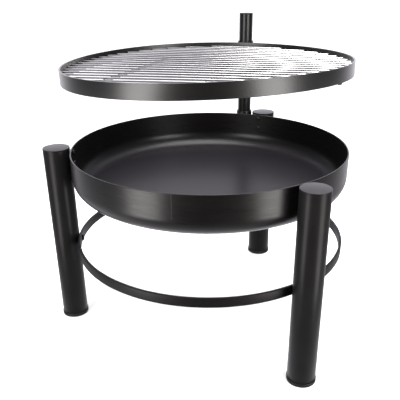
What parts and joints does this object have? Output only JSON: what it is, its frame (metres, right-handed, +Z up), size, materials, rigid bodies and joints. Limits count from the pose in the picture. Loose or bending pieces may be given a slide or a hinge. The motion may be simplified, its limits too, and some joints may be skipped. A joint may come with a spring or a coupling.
{
  "type": "fire pit with grate",
  "caption": "Round steel fire bowl on tubular legs joined by a lower ring, with a round cooking grate that slides up and down on a pole and swings aside with it.",
  "frame": {"origin": "on the floor, below the bowl's axis", "axes": "+Z up, front towards -Y, pole at the rear and a little towards +X"},
  "size_m": [0.6644, 0.678, 0.6655],
  "materials": {
    "bowl_paint": "satin heat-proof black paint",
    "leg_paint": "satin black powder coat with fine texture",
    "ring_paint": "satin black powder coat",
    "pole_paint": "satin black powder coat",
    "grate_paint": "satin black powder coat",
    "grate_chrome": "bright chrome-plated wire",
    "black_fasteners": "black oxide steel",
    "zinc_fasteners": "bright zinc plate",
    "brass_pad": "turned brass",
    "black_plastic": "moulded black plastic"
  },
  "bodies": {
    "stand": {"fire_bowl": "bowl_paint", "leg_tube_left": "leg_paint", "leg_tube_right": "leg_paint", "leg_tube_rear": "leg_paint", "leg_top_left": "leg_paint", "leg_top_right": "leg_paint", "leg_top_rear": "leg_paint", "lower_ring": "ring_paint", "pole_socket": "pole_paint", "socket_floor": "pole_paint", "socket_bracket_upper": "pole_paint", "socket_bracket_lower": "pole_paint", "bowl_bolts": "black_fasteners", "ring_bolts": "black_fasteners", "bowl_washers": "zinc_fasteners", "bowl_rivet_nuts": "zinc_fasteners", "ring_rivet_nuts": "zinc_fasteners", "foot_cap_left": "black_plastic", "foot_cap_right": "black_plastic", "foot_cap_rear": "black_plastic"},
    "pole": {"pole_tube": "pole_paint", "pole_cap": "black_plastic"},
    "grate": {"grate_band": "grate_paint", "grate_wires": "grate_chrome", "grate_bar_left": "grate_chrome", "grate_bar_right": "grate_chrome", "grate_sleeve": "grate_paint", "clamp_nut": "grate_paint"},
    "clamp_pad": {"clamp_pad": "brass_pad"},
    "clamp_screw": {"clamp_screw": "zinc_fasteners", "clamp_handle": "zinc_fasteners"}
  },
  "joints": [
    {"name": "pole_turn", "type": "hinge", "parent": "stand", "child": "pole", "pos_m": [0.09492, 0.30664, 0.42], "axis": [0, 0, 1], "continuous": true},
    {"name": "grate_height", "type": "slide", "parent": "pole", "child": "grate", "axis": [0, 0, 1], "range_m": [-0.128, 0.06]},
    {"name": "clamp_feed", "type": "slide", "parent": "grate", "child": "clamp_pad", "axis": [0.3123, 0.95, 0], "range_m": [0, 0.0025]},
    {"name": "clamp_turn", "type": "hinge", "parent": "clamp_pad", "child": "clamp_screw", "pos_m": [0.09492, 0.30664, 0.574], "axis": [0.3123, 0.95, 0], "range_deg": [0, 720]}
  ],
  "couplings": [
    {"joint": "clamp_turn", "follows": "clamp_feed", "rad_per_m": 5026.5}
  ]
}
